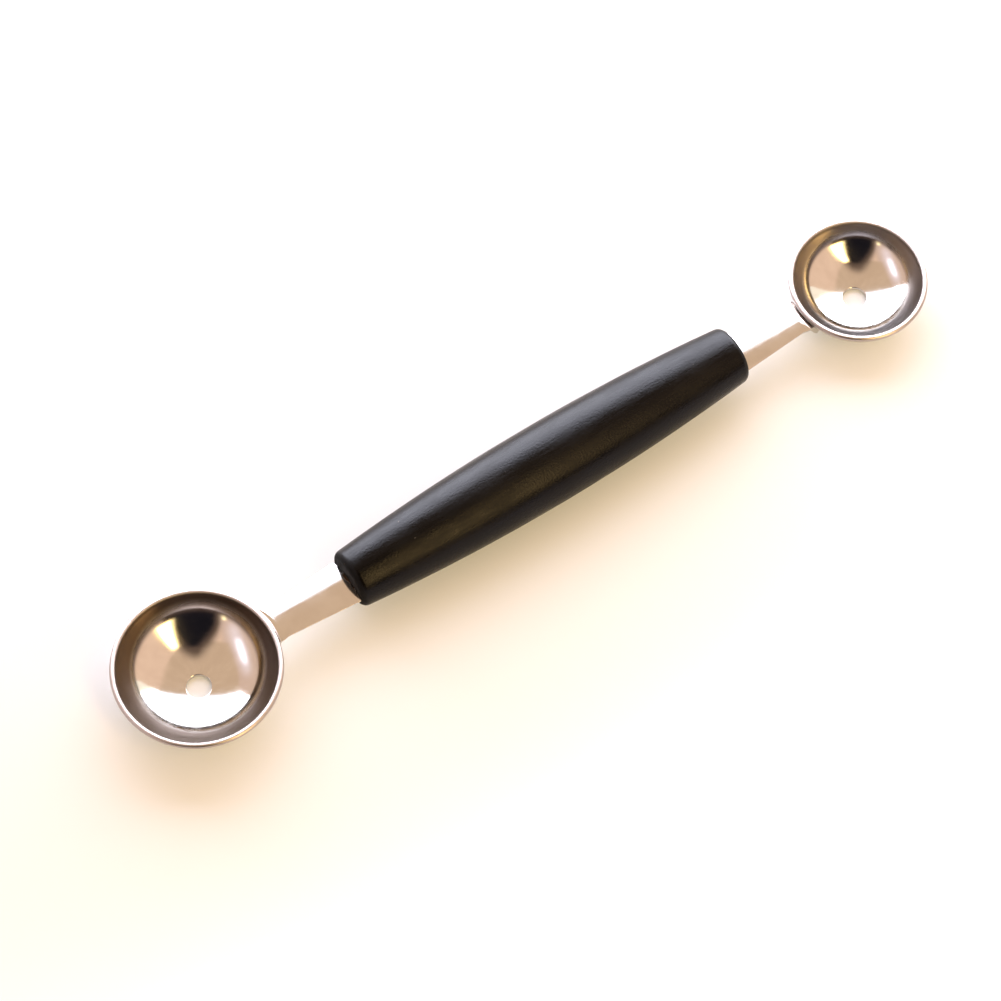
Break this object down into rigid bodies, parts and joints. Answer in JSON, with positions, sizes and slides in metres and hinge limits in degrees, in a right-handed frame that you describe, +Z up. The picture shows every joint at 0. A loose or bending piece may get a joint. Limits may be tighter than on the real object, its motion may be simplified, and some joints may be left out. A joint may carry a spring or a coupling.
{
  "type": "melon baller",
  "caption": "Double-ended melon baller: a large and a small drilled steel bowl on arched shanks, at either end of a black wooden barrel handle.",
  "frame": {"origin": "on the table, under the middle of the tool's length", "axes": "+X along the tool from the large bowl to the small one, +Z up, out of the bowls"},
  "size_m": [0.18, 0.032, 0.016],
  "materials": {
    "bowl_steel": "mirror-polished stainless steel",
    "shank_steel": "polished stainless steel",
    "handle_wood": "satin black lacquer over fine-grained wood"
  },
  "bodies": {
    "root": {"large_bowl": "bowl_steel", "large_shank": "shank_steel", "handle": "handle_wood", "small_shank": "shank_steel", "small_bowl": "bowl_steel"}
  },
  "joints": []
}
